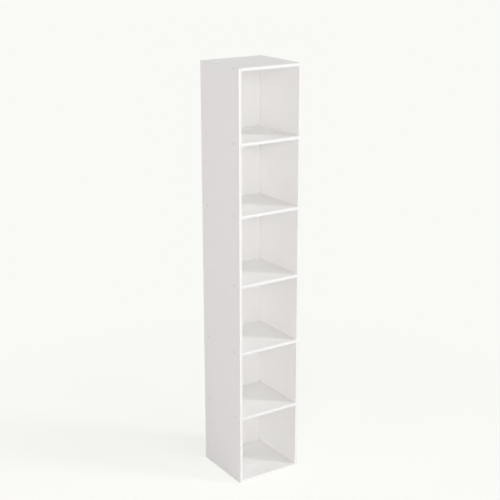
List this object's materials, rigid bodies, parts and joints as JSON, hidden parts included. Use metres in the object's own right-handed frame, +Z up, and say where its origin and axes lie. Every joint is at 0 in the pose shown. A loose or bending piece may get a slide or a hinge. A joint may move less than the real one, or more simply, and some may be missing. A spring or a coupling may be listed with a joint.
{
  "type": "cube storage organizer",
  "caption": "Tall narrow open storage tower: one column of equal square cubes between two flat sides, with fixed shelves and a closed back.",
  "frame": {"origin": "on the floor, at the middle of the plan", "axes": "+Z up, open front towards -Y, left side at -X"},
  "size_m": [0.3, 0.292, 1.794],
  "materials": {
    "white_melamine_board": "satin white melamine on particle board",
    "white_pvc_edge": "satin white edge band",
    "white_hardboard": "white-faced hardboard, bare behind",
    "zinc_steel": "bright zinc plating",
    "beech": "plain turned beech"
  },
  "bodies": {
    "root": {"left_side_panel": "white_melamine_board", "right_side_panel": "white_melamine_board", "bottom_panel": "white_melamine_board", "shelf_1": "white_melamine_board", "shelf_2": "white_melamine_board", "shelf_3": "white_melamine_board", "shelf_4": "white_melamine_board", "shelf_5": "white_melamine_board", "top_panel": "white_melamine_board", "left_side_front_band": "white_pvc_edge", "right_side_front_band": "white_pvc_edge", "left_side_top_band": "white_pvc_edge", "right_side_top_band": "white_pvc_edge", "bottom_panel_front_band": "white_pvc_edge", "shelf_1_front_band": "white_pvc_edge", "shelf_2_front_band": "white_pvc_edge", "shelf_3_front_band": "white_pvc_edge", "shelf_4_front_band": "white_pvc_edge", "shelf_5_front_band": "white_pvc_edge", "top_panel_front_band": "white_pvc_edge", "back_board": "white_hardboard", "bottom_panel_screws": "zinc_steel", "shelf_1_screws": "zinc_steel", "shelf_2_screws": "zinc_steel", "shelf_3_screws": "zinc_steel", "shelf_4_screws": "zinc_steel", "shelf_5_screws": "zinc_steel", "top_panel_screws": "zinc_steel", "bottom_panel_dowels": "beech", "shelf_1_dowels": "beech", "shelf_2_dowels": "beech", "shelf_3_dowels": "beech", "shelf_4_dowels": "beech", "shelf_5_dowels": "beech", "top_panel_dowels": "beech"}
  },
  "joints": []
}
